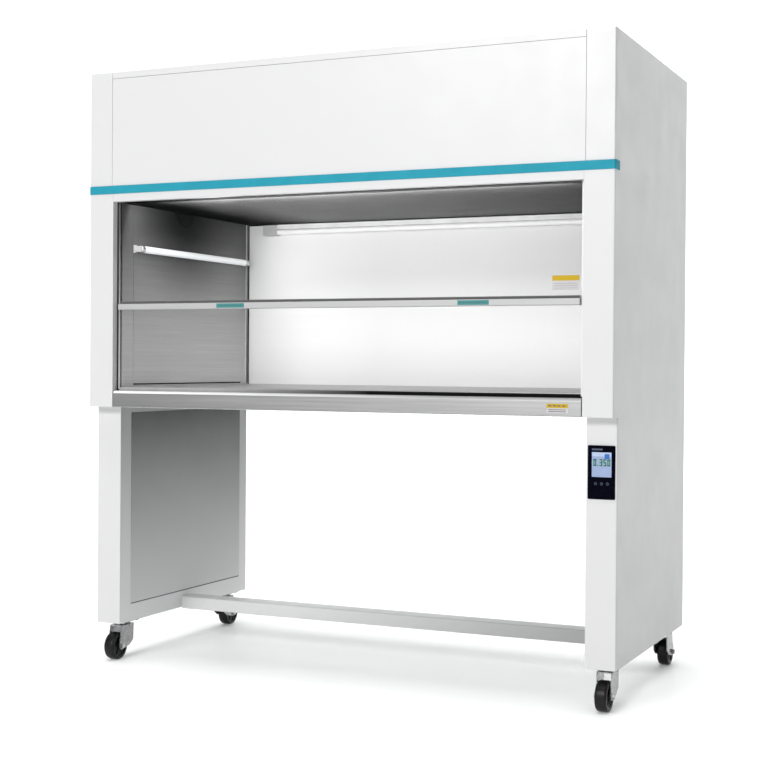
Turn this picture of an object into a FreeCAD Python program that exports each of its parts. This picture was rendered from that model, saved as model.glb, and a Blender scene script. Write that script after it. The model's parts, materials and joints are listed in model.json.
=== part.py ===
"""Vertical laminar-flow clean bench: a two-person work cabinet on four swivel casters.

Frame: X to the operator's right, Y away from the operator, Z up, origin on the floor under the middle.
All sizes are in millimetres.
"""
import FreeCAD, Part
import math
import os

V = FreeCAD.Vector

# ---------------------------------------------------------------- driving dimensions
HALF_WIDTH = 740.0        # outside of the side panels
FRONT = -368.0            # front plane of the cabinet
BACK = 368.0              # rear plane of the side panels
TOP = 1620.0              # top of the roof cover
ROOF_SHEET = 1.5
SHEET = 2.0
BODY_BOTTOM = 707.0       # underside of the work cabinet, top of the leg recess
LEG_FRONT = -328.0        # the legs stand 40 behind the cabinet's front
LEG_BOTTOM = 106.0
COLUMN_IN = 664.0         # inner edge of the front columns and inner face of the legs
SEAM_X = 668.5            # vertical seam beside the removable fascia
REVEAL_DEPTH = 20.0
CORNER = 4.0

WALL_X = 655.0            # chamber side wall, chamber side
CHAMBER_FRONT = -334.0
BACK_WALL_Y = 358.0
WORKTOP_Z = 764.0
CEILING_Z = 1267.0
OPENING_TOP = 1268.0
RAIL_TOP = 1300.0
STRIP_LOW = 1289.0
STRIP_HIGH = 1311.0
STRIP_WRAP = 35.0
FASCIA_TOP = 1602.0

GLASS_T = 6.0
GLASS_Y = -344.0          # outer face of the sash glass
GLASS_HALF = 676.0
GLASS_LOW = 979.0
GLASS_HIGH = 1508.0
HANDLE_LOW = 973.0
HANDLE_HIGH = 996.0
HANDLE_STEP = 989.0
HANDLE_HALF = 653.0

CABLE_X = 697.0
PULLEY_R = 30.0
PULLEY_Y = -295.0
PULLEY_Z = 1580.0
CABLE_R = 1.5
CARRIER_LOW = 990.0
CARRIER_HIGH = 1085.0
WEIGHT_LOW = 1000.0
WEIGHT_LEN = 281.94
WEIGHT_W = 58.0
WEIGHT_D = 50.0

HEPA_LOW = 1282.0
HEPA_HIGH = 1372.0
PLENUM_TOP = 1577.0
FAN_Y = 15.0
FAN_INLET_R = 118.0
IMPELLER_R = 175.0
IMPELLER_LOW = 1486.0
IMPELLER_HIGH = 1562.0

UV_X = -640.0              # germicidal tube on the left wall
UV_Z = 1145.0
UV_R = 9.5
UV_FRONT = -271.0
UV_BACK = 324.0
LED_HALF = 537.0           # half length of the lit tube on the back wall
LED_Z = 1239.5
LED_R = 6.5

CASTER_X = 702.0
CASTER_FRONT_Y = -260.0
CASTER_REAR_Y = 294.0
TRAIL = 31.0
WHEEL_R = 37.5
WHEEL_HALF = 15.0
AXLE_R = 4.0
FORK_HALF = 17.0
FORK_T = 2.5

SCREW_R = 3.0
HOLE_R = 3.05


# ---------------------------------------------------------------- small helpers
def box(x0, x1, y0, y1, z0, z1):
    return Part.makeBox(x1 - x0, y1 - y0, z1 - z0, V(x0, y0, z0))


def cyl(radius, length, base, axis):
    return Part.makeCylinder(radius, length, V(*base), V(*axis))


def cone(r1, r2, length, base, axis):
    return Part.makeCone(r1, r2, length, V(*base), V(*axis))


def join(shapes):
    result = shapes[0]
    for shape in shapes[1:]:
        result = result.fuse(shape)
    return result.removeSplitter()


def group(shapes):
    return Part.makeCompound(shapes)


def mirror(shape):
    return shape.mirror(V(0, 0, 0), V(1, 0, 0))


def both_sides(shape):
    return group([shape, mirror(shape)])


def for_side(shape, side):
    if side > 0:
        return shape
    return mirror(shape)


def prism_yz(points, x0, x1):
    wire = Part.makePolygon([V(x0, y, z) for y, z in points + points[:1]])
    return Part.Face(wire).extrude(V(x1 - x0, 0, 0))


def prism_xy(points, z0, z1):
    wire = Part.makePolygon([V(x, y, z0) for x, y in points + points[:1]])
    return Part.Face(wire).extrude(V(0, 0, z1 - z0))


def prism_xz(points, y0, y1):
    wire = Part.makePolygon([V(x, y0, z) for x, z in points + points[:1]])
    return Part.Face(wire).extrude(V(0, y1 - y0, 0))


def edges_along(shape, axis, test):
    """Straight edges parallel to one axis whose middle passes the test."""
    found = []
    for edge in shape.Edges:
        if len(edge.Vertexes) < 2:
            continue
        a = edge.Vertexes[0].Point
        b = edge.Vertexes[-1].Point
        d = b.sub(a)
        parts = [abs(d.x), abs(d.y), abs(d.z)]
        if parts[axis] < 1e-6 or sum(parts) - parts[axis] > 1e-6:
            continue
        if test(a.add(b).multiply(0.5)):
            found.append(edge)
    return found


def soften(shape, radius, axis, test):
    return shape.makeFillet(radius, edges_along(shape, axis, test))


def round_box(x0, x1, y0, y1, z0, z1, radius, axis=2):
    return soften(box(x0, x1, y0, y1, z0, z1), radius, axis, lambda p: True)


# ---------------------------------------------------------------- fastener positions
def rear_screw_places():
    places = []
    for side in (-1, 1):
        for i in range(6):
            places.append((side * 726.0, BACK + SHEET, 740.0 + i * 170.0))
    return places


def caster_centres():
    return [("front_left", -CASTER_X, CASTER_FRONT_Y, -1), ("front_right", CASTER_X, CASTER_FRONT_Y, -1),
            ("rear_left", -CASTER_X, CASTER_REAR_Y, 1), ("rear_right", CASTER_X, CASTER_REAR_Y, 1)]


def caster_screw_places():
    places = []
    for _, cx, cy, _ in caster_centres():
        for sx in (-1, 1):
            for sy in (-1, 1):
                places.append((cx + sx * 25.0, cy + sy * 32.0, LEG_BOTTOM - 3.0))
    return places


def rear_screw_holes():
    return group([cyl(HOLE_R, 12, (x, y - 10, z), (0, 1, 0)) for x, y, z in rear_screw_places()])


def caster_screw_holes():
    return group([cyl(HOLE_R, 12, (x, y, z - 2), (0, 0, 1)) for x, y, z in caster_screw_places()])


def panel_screws():
    screws = []
    for x, y, z in rear_screw_places():
        head = cyl(5.0, 2.6, (x, y, z), (0, 1, 0))
        socket = cyl(2.0, 1.6, (x, y + 1.2, z), (0, 1, 0))
        screws.append(head.cut(socket).fuse(cyl(SCREW_R, 7.0, (x, y - 7.0, z), (0, 1, 0))))
    for x, y, z in caster_screw_places():
        head = cyl(5.0, 2.6, (x, y, z - 2.6), (0, 0, 1))
        socket = cyl(2.0, 1.6, (x, y, z - 2.8), (0, 0, 1))
        screws.append(head.cut(socket).fuse(cyl(SCREW_R, 9.0, (x, y, z), (0, 0, 1))))
    return group(screws)


# ---------------------------------------------------------------- outer skins
def side_panel(side):
    """One folded sheet: outer side, column front with its reveal, leg front and rear return."""
    top = TOP - ROOF_SHEET
    outer = box(COLUMN_IN, HALF_WIDTH, FRONT, BACK, BODY_BOTTOM, top)
    outer = soften(outer, CORNER, 2, lambda p: p.x > HALF_WIDTH - 1)
    inner = box(COLUMN_IN + SHEET, HALF_WIDTH - SHEET, FRONT + SHEET, BACK - SHEET, BODY_BOTTOM - 1, top + 1)
    inner = soften(inner, CORNER - SHEET, 2, lambda p: p.x > HALF_WIDTH - SHEET - 1)
    upper = outer.cut(inner)
    reveal_end = FRONT + REVEAL_DEPTH
    upper = upper.cut(box(COLUMN_IN - 1, COLUMN_IN + SHEET, reveal_end, BACK + 1, BODY_BOTTOM - 1, top + 1))
    upper = upper.cut(box(COLUMN_IN - 1, 712, BACK - 5, BACK + 1, BODY_BOTTOM - 1, top + 1))
    upper = upper.cut(box(COLUMN_IN - 1, SEAM_X, FRONT - 1, reveal_end + 1, RAIL_TOP, top + 1))

    outer = box(COLUMN_IN, HALF_WIDTH, LEG_FRONT, BACK, LEG_BOTTOM, BODY_BOTTOM)
    outer = soften(outer, CORNER, 2, lambda p: p.x > HALF_WIDTH - 1)
    inner = box(COLUMN_IN - 1, HALF_WIDTH - SHEET, LEG_FRONT + SHEET, BACK - SHEET,
                LEG_BOTTOM - 1, BODY_BOTTOM + 1)
    inner = soften(inner, CORNER - SHEET, 2, lambda p: p.x > HALF_WIDTH - SHEET - 1)
    lower = outer.cut(inner)
    lower = lower.cut(box(COLUMN_IN - 1, 712, BACK - 5, BACK + 1, LEG_BOTTOM - 1, BODY_BOTTOM + 1))
    if side > 0:
        lower = lower.cut(cyl(6.0, 10, (701.5, LEG_FRONT - 2, 576), (0, 1, 0)))

    ledge = box(COLUMN_IN + SHEET, HALF_WIDTH - 1, FRONT + 1, LEG_FRONT + SHEET, BODY_BOTTOM, BODY_BOTTOM + SHEET)
    panel = join([upper, lower, ledge]).cut(group([cyl(HOLE_R, 12, (abs(x), y - 10, z), (0, 1, 0))
                                                    for x, y, z in rear_screw_places() if x > 0]))
    return for_side(panel, side)


def front_fascia():
    """Removable upper front cover, folded back on all four sides."""
    half = SEAM_X - 1.0
    shell = box(-half, half, FRONT, FRONT + 16, RAIL_TOP + 2, FASCIA_TOP)
    hollow = box(-half + SHEET, half - SHEET, FRONT + SHEET, FRONT + 20, RAIL_TOP + 4, FASCIA_TOP - SHEET)
    return shell.cut(hollow)


def fascia_rail():
    """Lower rail of the upper cabinet, over the front opening."""
    half = COLUMN_IN - 0.4
    shell = box(-half, half, FRONT, FRONT + REVEAL_DEPTH, OPENING_TOP, RAIL_TOP)
    hollow = box(-half - 1, half + 1, FRONT + SHEET, FRONT + 30, OPENING_TOP + SHEET, RAIL_TOP - SHEET)
    return shell.cut(hollow)


def accent_strip():
    """Coloured plastic strip across the front, with short returns round both corners."""
    out_x = HALF_WIDTH + SHEET
    outer = box(-out_x, out_x, FRONT - SHEET, FRONT - SHEET + STRIP_WRAP, STRIP_LOW, STRIP_HIGH)
    outer = soften(outer, CORNER + SHEET, 2, lambda p: p.y < FRONT)
    inner = box(-HALF_WIDTH, HALF_WIDTH, FRONT, FRONT + 60, STRIP_LOW - 1, STRIP_HIGH + 1)
    inner = soften(inner, CORNER, 2, lambda p: p.y < FRONT + 1)
    return outer.cut(inner)


def top_cover():
    """Roof sheet with the intake slots and a front lip over the fascia."""
    low = TOP - ROOF_SHEET
    roof = box(-HALF_WIDTH, HALF_WIDTH, FRONT, BACK, low, TOP)
    roof = soften(roof, CORNER, 2, lambda p: True)
    lip = box(-(SEAM_X - 1), SEAM_X - 1, FRONT, FRONT + SHEET, FASCIA_TOP + 1, low)
    slots = []
    for i in range(11):
        for j in range(19):
            x = -400 + i * 80.0
            y = FAN_Y - 162 + j * 18.0
            slots.append(box(x - 31, x + 31, y - 4, y + 4, low - 1, TOP + 1))
    return join([roof, lip]).cut(group(slots))


def rear_cover():
    sheet = box(-736, 736, BACK, BACK + SHEET, 709, TOP - 4)
    return sheet.cut(rear_screw_holes())


# ---------------------------------------------------------------- legs
def leg_housing(side):
    """Inner skin, rear skin and base plate of one leg, folded from one sheet."""
    inner_skin = box(COLUMN_IN, COLUMN_IN + SHEET, LEG_FRONT + SHEET, BACK, LEG_BOTTOM, BODY_BOTTOM - 0.3)
    rear_skin = box(COLUMN_IN, 711.7, BACK - SHEET, BACK, LEG_BOTTOM, BODY_BOTTOM - 0.3)
    base = box(COLUMN_IN, HALF_WIDTH - SHEET - 0.3, LEG_FRONT + SHEET + 0.3, BACK - SHEET - 0.3,
               LEG_BOTTOM, LEG_BOTTOM + 3)
    holes = group([cyl(HOLE_R, 12, (abs(x), y, z - 2), (0, 0, 1)) for x, y, z in caster_screw_places() if x > 0])
    leg = join([inner_skin, rear_skin, base]).cut(holes)
    if side > 0:
        leg = leg.cut(box(675.5, 704.5, BACK - 5, BACK + 1, 186, 206))
    return for_side(leg, side)


def leg_panels():
    """Removable access panels on the inner faces of both legs."""
    panel = round_box(COLUMN_IN - 1.2, COLUMN_IN, -275, 324, 157, 690, 4, 0)
    return both_sides(panel)


def cross_bar():
    tube = round_box(-COLUMN_IN, COLUMN_IN, -10, 50, 102, 138, 4, 0)
    bore = round_box(-COLUMN_IN - 1, COLUMN_IN + 1, -8, 48, 104, 136, 2, 0)
    return tube.cut(bore)


# ---------------------------------------------------------------- work chamber
def chamber_wall(side):
    wall = box(WALL_X, WALL_X + SHEET, CHAMBER_FRONT, BACK_WALL_Y + SHEET, 711, 1281)
    raised = round_box(WALL_X - 1, WALL_X + 0.5, -283, 313, 771, 1252, 6, 0)
    return for_side(join([wall, raised]), side)


def chamber_back_wall():
    """Rear wall with narrow flanges folded forward over the side walls."""
    wall = box(-WALL_X, WALL_X, BACK_WALL_Y, BACK_WALL_Y + SHEET, 745, CEILING_Z - 0.3)
    flange = box(WALL_X - 1.5, WALL_X, 344, BACK_WALL_Y, 768, CEILING_Z - 0.3)
    return join([wall, flange, mirror(flange)])


def diffuser_plate():
    """Perforated ceiling sheet under the main filter, edges turned up."""
    tray = box(-654.7, 654.7, CHAMBER_FRONT + 0.3, BACK_WALL_Y - 0.3, CEILING_Z, CEILING_Z + 13)
    hollow = box(-653.2, 653.2, CHAMBER_FRONT + 1.8, BACK_WALL_Y - 1.8, CEILING_Z + 1.5, CEILING_Z + 20)
    holes = []
    for i in range(32):
        for j in range(15):
            x = -600.0 + i * 1200.0 / 31
            y = -294.0 + j * 40.0
            holes.append(cyl(5.0, 6, (x, y, CEILING_Z - 2), (0, 0, 1)))
    return tray.cut(hollow).cut(group(holes))


def worktop():
    """Stainless work surface with its edges turned down."""
    outer = box(-654.7, 654.7, CHAMBER_FRONT + 0.3, BACK_WALL_Y - 0.3, 741, WORKTOP_Z)
    outer = soften(outer, 2.5, 0, lambda p: p.z > WORKTOP_Z - 1 and p.y < 0)
    hollow = box(-652.7, 652.7, CHAMBER_FRONT + 2.3, BACK_WALL_Y - 2.3, 740, WORKTOP_Z - SHEET)
    return outer.cut(hollow)


def worktop_apron():
    """Brushed front rail below the opening, with a rounded upper edge."""
    outer = box(-661.5, 661.5, FRONT, -346, 709.3, 752)
    outer = soften(outer, 8, 0, lambda p: p.z > 751 and p.y < -360)
    inner = box(-662.5, 662.5, FRONT + SHEET, -340, 700, 750)
    inner = soften(inner, 6, 0, lambda p: p.z > 749 and p.y < -360)
    return outer.cut(inner)


def worktop_seal():
    """Rubber strip that the lowered sash closes against."""
    strip = box(-654.7, 654.7, -348, CHAMBER_FRONT - 0.2, 752.3, 761)
    return soften(strip, 1.5, 0, lambda p: p.z > 760)


def base_pan():
    """Closing sheet under the worktop with three welded stiffening rails."""
    shell = box(-663.7, 663.7, FRONT + SHEET + 0.3, 367.7, BODY_BOTTOM, 735)
    hollow = box(-662.2, 662.2, FRONT + SHEET + 1.8, 366.2, BODY_BOTTOM + 1.5, 740)
    pan = shell.cut(hollow)
    pan = pan.cut(box(-670, 670, FRONT, -325, BODY_BOTTOM + 1.5, 740))
    rails = []
    for x in (-420.0, 0.0, 420.0):
        rails.append(box(x - 20, x - 18, -325, 350, BODY_BOTTOM + 1, 761.7))
        rails.append(box(x - 20, x + 20, -325, 350, 759.7, 761.7))
        rails.append(box(x + 18, x + 20, -325, 350, BODY_BOTTOM + 1, 761.7))
    return join([pan] + rails)


# ---------------------------------------------------------------- air system
def prefilter():
    """Pleated coarse filter pad lying under the roof slots."""
    count = 48
    pitch = 900.0 / count
    upper = []
    lower = []
    for i in range(count + 1):
        z = 1612.0 if i % 2 == 0 else 1594.0
        upper.append((-450.0 + i * pitch, z))
        lower.append((-450.0 + i * pitch, z - 3.0))
    return prism_xz(upper + lower[::-1], FAN_Y - 165, FAN_Y + 165)


def fan_plenum():
    """Pressure box over the main filter, with the fan's inlet ring and the motor rails."""
    shell = box(-650, 650, -320, 350, HEPA_HIGH + 0.3, PLENUM_TOP)
    hollow = box(-648.5, 648.5, -318.5, 348.5, HEPA_HIGH - 1, PLENUM_TOP - 1.5)
    shell = shell.cut(hollow)
    shell = shell.cut(cyl(FAN_INLET_R + 1.5, 10, (0, FAN_Y, PLENUM_TOP - 5), (0, 0, 1)))
    ring = cone(FAN_INLET_R + 12, FAN_INLET_R + 2, 14, (0, FAN_Y, PLENUM_TOP), (0, 0, -1))
    ring = ring.cut(cone(FAN_INLET_R + 10, FAN_INLET_R, 14, (0, FAN_Y, PLENUM_TOP), (0, 0, -1)))
    ring = ring.cut(cyl(400, 10, (0, FAN_Y, PLENUM_TOP), (0, 0, 1)))
    rim = cyl(FAN_INLET_R + 14, 1.5, (0, FAN_Y, PLENUM_TOP - 1.5), (0, 0, 1))
    rim = rim.cut(cyl(FAN_INLET_R + 9, 3, (0, FAN_Y, PLENUM_TOP - 2), (0, 0, 1)))
    rails = []
    for x in (-60.0, 30.0):
        rail = box(x, x + 30, -319, 349, 1396, 1416)
        rails.append(rail.cut(box(x + 2, x + 28, -330, 360, 1390, 1414)))
    return join([shell, ring, rim] + rails)


def fan_motor():
    """Motor can with a round mounting flange standing on the plenum's rails."""
    body = cyl(52, 52, (0, FAN_Y, 1420), (0, 0, 1))
    body = body.makeFillet(5, [e for e in body.Edges if abs(e.BoundBox.ZMin - 1472) < 0.01
                               and abs(e.BoundBox.ZMax - 1472) < 0.01])
    flange = cyl(62, 4, (0, FAN_Y, 1416), (0, 0, 1))
    shape = join([body, flange])
    for i in range(12):
        angle = i * 30.0
        fin = box(50, 56, -1.5, 1.5, 1424, 1462)
        fin.rotate(V(0, 0, 0), V(0, 0, 1), angle)
        fin.translate(V(0, FAN_Y, 0))
        shape = shape.fuse(fin)
    return shape.cut(cyl(9.05, 80, (0, FAN_Y, 1430), (0, 0, 1))).removeSplitter()


def impeller():
    """Backward-curved fan wheel with its shaft."""
    plate = cyl(IMPELLER_R, 3, (0, FAN_Y, IMPELLER_LOW), (0, 0, 1))
    shroud = cone(IMPELLER_R, FAN_INLET_R + 4, 14, (0, FAN_Y, IMPELLER_HIGH - 20), (0, 0, 1))
    shroud = shroud.cut(cone(IMPELLER_R - 3, FAN_INLET_R + 1, 14, (0, FAN_Y, IMPELLER_HIGH - 20), (0, 0, 1)))
    shroud = shroud.cut(cyl(FAN_INLET_R + 3, 40, (0, FAN_Y, IMPELLER_HIGH - 30), (0, 0, 1)))
    parts = [plate, cyl(22, 30, (0, FAN_Y, IMPELLER_LOW), (0, 0, 1)), cyl(9, 56, (0, FAN_Y, 1432), (0, 0, 1))]
    for i in range(9):
        points = []
        for k in range(9):
            t = k / 8.0
            r = 92.0 + t * (IMPELLER_R - 95.0)
            a = math.radians(i * 40.0 - 46.0 * t)
            points.append((r * math.cos(a), FAN_Y + r * math.sin(a)))
        for k in range(8, -1, -1):
            t = k / 8.0
            r = 92.0 + t * (IMPELLER_R - 95.0)
            a = math.radians(i * 40.0 - 46.0 * t) + 3.0 / r
            points.append((r * math.cos(a), FAN_Y + r * math.sin(a)))
        parts.append(prism_xy(points, IMPELLER_LOW + 2, IMPELLER_HIGH - 13))
    wheel = join(parts)
    keep = cone(IMPELLER_R + 6, FAN_INLET_R + 10, 14, (0, FAN_Y, IMPELLER_HIGH - 20), (0, 0, 1))
    keep = keep.fuse(cyl(400, IMPELLER_HIGH - 20 - 1400, (0, FAN_Y, 1400), (0, 0, 1)))
    return join([wheel.common(keep), shroud])


def hepa_frame():
    outer = box(-650, 650, -320, 350, HEPA_LOW, HEPA_HIGH)
    return outer.cut(box(-635, 635, -305, 335, HEPA_LOW - 1, HEPA_HIGH + 1))


def hepa_media():
    """Pleated filter pack filling the frame."""
    count = 84
    pitch = 1269.0 / count
    first = []
    second = []
    for i in range(count + 1):
        z = HEPA_HIGH - 6 if i % 2 == 0 else HEPA_LOW + 10
        first.append((-634.5 + i * pitch, z))
        second.append((-634.5 + i * pitch, z - 4.0))
    return prism_xz(first + second[::-1], -304.7, 334.7)


# ---------------------------------------------------------------- sash and its balance
def sash_glass():
    pane = box(-GLASS_HALF, GLASS_HALF, GLASS_Y, GLASS_Y + GLASS_T, GLASS_LOW, GLASS_HIGH)
    return soften(pane, 1.0, 0, lambda p: p.z > GLASS_HIGH - 1)


def sash_handle():
    """Extruded grip along the bottom edge of the glass."""
    profile = [(-358, HANDLE_LOW), (-358, HANDLE_STEP), (-350, HANDLE_STEP), (-350, HANDLE_HIGH),
               (GLASS_Y, HANDLE_HIGH), (GLASS_Y, GLASS_LOW), (GLASS_Y + GLASS_T, GLASS_LOW),
               (GLASS_Y + GLASS_T, HANDLE_HIGH), (-334.8, HANDLE_HIGH), (-334.8, HANDLE_LOW)]
    bar = prism_yz(profile, -HANDLE_HALF, HANDLE_HALF)
    return soften(bar, 2.0, 0, lambda p: p.y < -357)


def sash_guides():
    """Black low-friction strips in front of and behind the glass on both sides."""
    front = box(WALL_X, 668, FRONT + REVEAL_DEPTH, GLASS_Y - 0.5, 756, 1605)
    rear = box(WALL_X, 668, GLASS_Y + GLASS_T + 0.5, CHAMBER_FRONT, 756, 1605)
    return group([front, rear, mirror(front), mirror(rear)])


def sash_carriers():
    """Clamps on the glass edges that hold the balance cables."""
    block = box(669.5, 708, -353, -316, CARRIER_LOW, CARRIER_HIGH)
    block = block.cut(box(660, GLASS_HALF, GLASS_Y, GLASS_Y + GLASS_T, CARRIER_LOW - 1, CARRIER_HIGH + 1))
    block = soften(block, 3, 0, lambda p: p.y > -320 or p.y < -350)
    return both_sides(block)


def sash_cables():
    run = cyl(CABLE_R, PULLEY_Z - CARRIER_HIGH, (CABLE_X, PULLEY_Y - PULLEY_R, CARRIER_HIGH), (0, 0, 1))
    return both_sides(run)


def weight_cable(side):
    low = WEIGHT_LOW + WEIGHT_LEN
    run = cyl(CABLE_R, PULLEY_Z - low, (CABLE_X, PULLEY_Y + PULLEY_R, low), (0, 0, 1))
    return for_side(run, side)


def cable_wraps():
    """The two half turns of cable that lie over the pulleys."""
    ring = Part.makeTorus(PULLEY_R, CABLE_R, V(CABLE_X, PULLEY_Y, PULLEY_Z), V(1, 0, 0))
    half = ring.common(box(CABLE_X - 10, CABLE_X + 10, PULLEY_Y - 50, PULLEY_Y + 50, PULLEY_Z, PULLEY_Z + 50))
    return both_sides(half)


def counterweight(side):
    y = PULLEY_Y + PULLEY_R
    high = WEIGHT_LOW + WEIGHT_LEN
    block = box(CABLE_X - WEIGHT_W / 2, CABLE_X + WEIGHT_W / 2, y - WEIGHT_D / 2, y + WEIGHT_D / 2,
                WEIGHT_LOW, high)
    return for_side(soften(block, 4, 2, lambda p: True), side)


def pulley(side):
    """Grooved wheel turning on the bracket's pin."""
    points = [(5.06, -6), (PULLEY_R + 3, -6), (PULLEY_R + 3, -4.5), (PULLEY_R - 2.2, -1.7),
              (PULLEY_R - 2.2, 1.7), (PULLEY_R + 3, 4.5), (PULLEY_R + 3, 6), (5.06, 6)]
    wire = Part.makePolygon([V(x, r, 0) for r, x in points + points[:1]])
    wheel = Part.Face(wire).revolve(V(0, 0, 0), V(1, 0, 0), 360)
    holes = []
    for i in range(5):
        a = math.radians(72 * i)
        holes.append(cyl(4.5, 20, (-10, 16 * math.cos(a), 16 * math.sin(a)), (1, 0, 0)))
    wheel = wheel.cut(group(holes))
    wheel.translate(V(CABLE_X, PULLEY_Y, PULLEY_Z))
    return for_side(wheel, side)


def pulley_brackets():
    """Bent plates on the plenum's sides, each carrying a pulley pin."""
    plate = box(706, 709, PULLEY_Y - 22, PULLEY_Y + 22, 1540, 1612)
    foot = box(650, 709, PULLEY_Y - 22, PULLEY_Y + 22, 1538, 1541)
    tab = box(650, 653, PULLEY_Y - 22, PULLEY_Y + 22, 1500, 1541)
    pin = cyl(5.0, 17, (CABLE_X - 8, PULLEY_Y, PULLEY_Z), (1, 0, 0))
    cap = cyl(8.0, 2, (CABLE_X - 8.5, PULLEY_Y, PULLEY_Z), (1, 0, 0))
    return both_sides(join([plate, foot, tab, pin, cap]))


# ---------------------------------------------------------------- lamps
def uv_lamp_tube():
    """Straight germicidal tube with metal caps, lying front to back on the left wall."""
    glass = cyl(UV_R, UV_BACK - UV_FRONT - 32, (UV_X, UV_FRONT + 16, UV_Z), (0, 1, 0))
    caps = []
    for y in (UV_FRONT, UV_BACK - 16):
        caps.append(cyl(UV_R + 0.3, 16, (UV_X, y, UV_Z), (0, 1, 0)))
    return group([glass] + caps)


def uv_lamp_holders():
    """Two small lampholders screwed to the wall at the ends of the tube."""
    holders = []
    for y in (UV_FRONT - 9, UV_BACK):
        block = box(-654, UV_X + 7, y, y + 9, UV_Z - 8, UV_Z + 8)
        block = soften(block, 3, 1, lambda p: p.x > UV_X + 6)
        foot_low = y - 5 if y < 0 else y
        foot = box(-654, -651, foot_low, foot_low + 14, UV_Z - 11, UV_Z + 11)
        holders.append(join([block, foot]))
    return group(holders)


def led_lamp_tube():
    return cyl(LED_R, 2 * LED_HALF, (-LED_HALF, 339, LED_Z), (1, 0, 0))


def led_lamp_housing():
    """White lamp channel on the back wall with a grey end bracket at each end."""
    channel = box(-LED_HALF, LED_HALF, 332, BACK_WALL_Y, 1249, 1263)
    back_plate = box(-LED_HALF, LED_HALF, 353, BACK_WALL_Y, 1231, 1250)
    channel = join([channel, back_plate])
    bracket = soften(box(LED_HALF, LED_HALF + 48, 329, BACK_WALL_Y, 1230, 1262), 3, 1, lambda p: True)
    return group([channel, bracket, mirror(bracket)])


# ---------------------------------------------------------------- controls and supply
def control_bezel():
    plate = round_box(668, 735, LEG_FRONT - SHEET, LEG_FRONT, 512, 640, 3, 1)
    pocket = box(677.7, 726.3, LEG_FRONT - SHEET - 1, LEG_FRONT - 0.9, 564.7, 624.3)
    return plate.cut(pocket)


def control_screen():
    return box(678, 726, LEG_FRONT - SHEET + 0.2, LEG_FRONT - 0.9, 565, 624)


def electronics_box():
    """Closed metal case for the fan controller and lamp drivers, inside the right leg."""
    case = round_box(674, 730, -318, -236, 470, 660, 3, 2)
    slots = []
    for i in range(9):
        slots.append(box(690, 716, -238, -230, 500 + i * 15, 505 + i * 15))
    return case.cut(group(slots))


def mains_inlet():
    """Appliance inlet on the rear of the right leg: flange, shell and three pins."""
    flange = round_box(670, 710, BACK, BACK + SHEET, 182, 210, 4, 1)
    shell = box(676, 704, BACK - 26, BACK + 0.5, 186.5, 205.5)
    body = join([flange, shell])
    well = box(678, 702, BACK - 18, BACK + 10, 188.5, 203.5)
    pins = [box(x, x + 2, BACK - 19, BACK - 2, z, z + 4) for x, z in ((682, 192), (696, 192), (689, 197))]
    return join([body.cut(well)] + pins)


# ---------------------------------------------------------------- casters
def caster_plate(cx, cy):
    """Top plate with the upper bearing race and the kingpin."""
    plate = round_box(-33, 33, -40, 40, LEG_BOTTOM - 3, LEG_BOTTOM, 5, 2)
    race = cone(20, 27, 4.7, (0, 0, 98.3), (0, 0, 1))
    pin = cyl(5, 12, (0, 0, 88), (0, 0, 1))
    head = cyl(8, 4, (0, 0, 87.2), (0, 0, 1))
    shape = join([plate, race, pin, head])
    shape.translate(V(cx, cy, 0))
    return shape


def caster_plates():
    plates = [caster_plate(cx, cy) for _, cx, cy, _ in caster_centres()]
    return group([plate.cut(caster_screw_holes()) for plate in plates])


def caster_fork(cx, cy, way):
    """Pressed fork: crown with the lower race and two cheeks that trail to the axle."""
    axle_y = way * TRAIL
    outline = [(-29, 94), (30, 94), (41, 41), (38, 31), (31, 27), (-8, 35), (-26, 48)]
    points = [(way * t, z) for t, z in outline]
    parts = []
    for x in (-FORK_HALF - FORK_T, FORK_HALF):
        cheek = prism_yz(points, x, x + FORK_T)
        parts.append(cheek.cut(cyl(AXLE_R, 10, (x - 2, axle_y, WHEEL_R), (1, 0, 0))))
    low = min(way * -29, way * 30)
    high = max(way * -29, way * 30)
    parts.append(box(-FORK_HALF - 1, FORK_HALF + 1, low, high, 91.5, 94))
    parts.append(cone(26, 20, 4, (0, 0, 94), (0, 0, 1)))
    fork = join(parts).cut(cyl(5.06, 30, (0, 0, 80), (0, 0, 1)))
    fork.translate(V(cx, cy, 0))
    return fork


def caster_axle(cx, cy, way):
    """Hexagon bolt and nut through the fork's cheeks."""
    y = cy + way * TRAIL
    reach = FORK_HALF + FORK_T
    shank = cyl(AXLE_R, 2 * reach + 8, (cx - reach - 1, y, WHEEL_R), (1, 0, 0))
    hexes = []
    for x0, thick in ((cx - reach - 5, 5.0), (cx + reach, 6.0)):
        corners = []
        for i in range(6):
            a = math.radians(60 * i)
            corners.append((y + 7.5 * math.cos(a), WHEEL_R + 7.5 * math.sin(a)))
        hexes.append(prism_yz(corners, x0, x0 + thick))
    return join([shank] + hexes)


def caster_wheel(cx, cy, way):
    """Solid black wheel with recessed faces and a plain bore."""
    tread = cyl(WHEEL_R, 2 * WHEEL_HALF, (-WHEEL_HALF, 0, 0), (1, 0, 0))
    tread = tread.makeFillet(4.5, [e for e in tread.Edges if e.Curve.TypeId == "Part::GeomCircle"])
    for x in (-WHEEL_HALF - 1, WHEEL_HALF - 4):
        tread = tread.cut(cyl(27, 5, (x, 0, 0), (1, 0, 0)))
    boss = cyl(11, 33, (-16.5, 0, 0), (1, 0, 0))
    wheel = join([tread, boss]).cut(cyl(AXLE_R + 0.05, 50, (-25, 0, 0), (1, 0, 0)))
    wheel.translate(V(cx, cy + way * TRAIL, WHEEL_R))
    return wheel


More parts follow.
